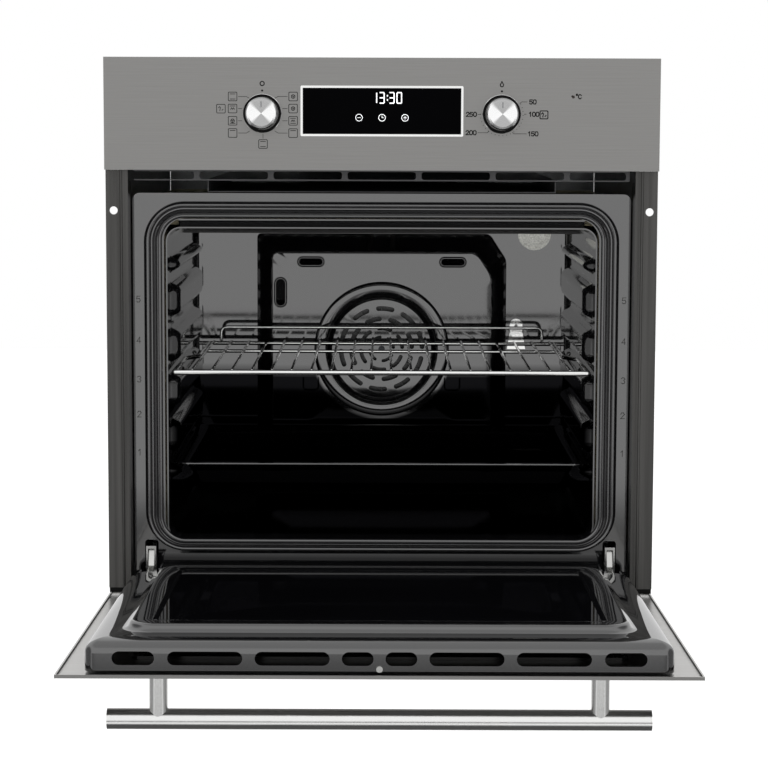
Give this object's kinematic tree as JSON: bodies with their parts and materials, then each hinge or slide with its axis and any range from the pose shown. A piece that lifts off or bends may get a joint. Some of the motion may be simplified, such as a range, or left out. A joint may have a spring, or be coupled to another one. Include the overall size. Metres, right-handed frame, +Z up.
{
  "type": "built-in wall oven",
  "caption": "Built-in wall oven with drop-down door, pop-out knobs, timer display, convection cavity, wire shelf and baking tray.",
  "frame": {"origin": "on the casing's underside, in the plane of the cabinet's front edge, midway between the sides", "axes": "+X to the right seen from the front, +Y into the cabinet, +Z up"},
  "size_m": [0.595, 1.0033, 0.6318],
  "materials": {
    "brushed_stainless": "brushed",
    "handle_steel": "satin",
    "bright_chrome": "polished",
    "display_black_glass": "gloss",
    "circuit_board": "matte",
    "galvanised_steel": "satin",
    "black_plastic": "satin",
    "spun_knob_metal": "spun",
    "plated_steel": "zinc plated",
    "switch_plastic": "matte",
    "amber_lens": "gloss",
    "painted_grille": "satin",
    "column_steel": "satin",
    "black_enamel": "vitreous enamel gloss",
    "seal_rubber": "satin",
    "mineral_wool": "fibrous",
    "heater_sheath": "heat darkened",
    "fan_steel": "satin",
    "motor_body": "satin",
    "lamp_glass": "clear",
    "lamp_ceramic": "matte",
    "hinge_steel": "satin",
    "spring_steel": "oiled",
    "door_glass": "tinted gloss"
  },
  "bodies": {
    "casing": {"control_fascia": "brushed_stainless", "display_frame": "bright_chrome", "display_glass": "display_black_glass", "timer_module": "circuit_board", "control_bracket": "galvanised_steel", "knob_bezels": "black_plastic", "selector_switch": "switch_plastic", "thermostat_switch": "switch_plastic", "indicator_lens": "amber_lens", "vent_grille": "painted_grille", "mounting_columns": "column_steel", "column_feet": "black_plastic", "front_frame": "black_enamel", "casing_sides": "galvanised_steel", "casing_base": "galvanised_steel", "casing_top": "galvanised_steel", "casing_back": "galvanised_steel", "casing_screws": "plated_steel", "cavity_liner": "black_enamel", "rear_panel": "black_enamel", "door_seal": "seal_rubber", "insulation": "mineral_wool", "grill_element": "heater_sheath", "bottom_element": "heater_sheath", "ring_element": "heater_sheath", "fan_motor": "motor_body", "lamp_glass": "lamp_glass", "lamp_bulb": "lamp_glass", "lamp_socket": "lamp_ceramic", "probe_clip": "bright_chrome", "air_duct": "painted_grille", "blower_housing": "galvanised_steel", "blower_motor": "motor_body", "terminal_block": "switch_plastic", "cable_gland": "black_plastic", "hinge_receivers": "hinge_steel", "hinge_arms": "plated_steel"},
    "door": {"door_outer_panel": "brushed_stainless", "door_window": "door_glass", "door_inner_shell": "black_enamel", "door_inner_glass": "door_glass", "door_screws": "plated_steel", "handle_bar": "handle_steel", "handle_posts": "handle_steel", "hinge_channels": "hinge_steel", "hinge_springs": "spring_steel"},
    "function_spindle": {"function_shaft": "plated_steel"},
    "function_dial": {"function_knob": "black_plastic", "function_knob_cap": "spun_knob_metal"},
    "thermostat_spindle": {"thermostat_shaft": "plated_steel"},
    "thermostat_dial": {"thermostat_knob": "black_plastic", "thermostat_knob_cap": "spun_knob_metal"},
    "shelf": {"wire_shelf": "bright_chrome"},
    "tray": {"baking_tray": "black_enamel"},
    "oven_fan": {"convection_fan": "fan_steel"},
    "cooling_rotor": {"blower_rotor": "fan_steel"},
    "left_lock": {"lock_lever_left": "plated_steel"},
    "right_lock": {"lock_lever_right": "plated_steel"},
    "pull_rods": {"spring_rods": "plated_steel"}
  },
  "joints": [
    {"name": "door_hinge", "type": "hinge", "parent": "casing", "child": "door", "pos_m": [0, -0.004, 0.024], "axis": [1, 0, 0], "range_deg": [-88.3, 0]},
    {"name": "function_turn", "type": "hinge", "parent": "casing", "child": "function_spindle", "pos_m": [-0.128, 0, 0.5355], "axis": [0, 1, 0], "continuous": true},
    {"name": "function_push", "type": "slide", "parent": "function_spindle", "child": "function_dial", "axis": [0, 1, 0], "range_m": [0, 0.014], "stiffness_N_per_m": 120, "springref_m": -0.02},
    {"name": "thermostat_turn", "type": "hinge", "parent": "casing", "child": "thermostat_spindle", "pos_m": [0.128, 0, 0.5355], "axis": [0, 1, 0], "range_deg": [0, 300]},
    {"name": "thermostat_push", "type": "slide", "parent": "thermostat_spindle", "child": "thermostat_dial", "axis": [0, 1, 0], "range_m": [0, 0.014], "stiffness_N_per_m": 120, "springref_m": -0.02},
    {"name": "shelf_slide", "type": "slide", "parent": "casing", "child": "shelf", "axis": [0, -1, 0], "range_m": [0, 0.3]},
    {"name": "tray_slide", "type": "slide", "parent": "casing", "child": "tray", "axis": [0, -1, 0], "range_m": [0, 0.3]},
    {"name": "oven_fan_spin", "type": "hinge", "parent": "casing", "child": "oven_fan", "pos_m": [0, 0.415, 0.242], "axis": [0, 1, 0], "continuous": true},
    {"name": "cooling_rotor_spin", "type": "hinge", "parent": "casing", "child": "cooling_rotor", "pos_m": [0, 0.47, 0.497], "axis": [1, 0, 0], "continuous": true},
    {"name": "left_lock_swing", "type": "hinge", "parent": "casing", "child": "left_lock", "pos_m": [-0.2535, 0.02, 0.041], "axis": [1, 0, 0], "range_deg": [0, 80]},
    {"name": "right_lock_swing", "type": "hinge", "parent": "casing", "child": "right_lock", "pos_m": [0.2535, 0.02, 0.041], "axis": [1, 0, 0], "range_deg": [0, 80]},
    {"name": "pull_rod_slide", "type": "slide", "parent": "door", "child": "pull_rods", "axis": [0, -0.9996, 0.0297], "range_m": [0, 0.0251], "deforming": ["hinge_springs"]}
  ],
  "couplings": [
    {"joint": "pull_rod_slide", "follows": "door_hinge", "m_per_rad": -0.016222}
  ]
}
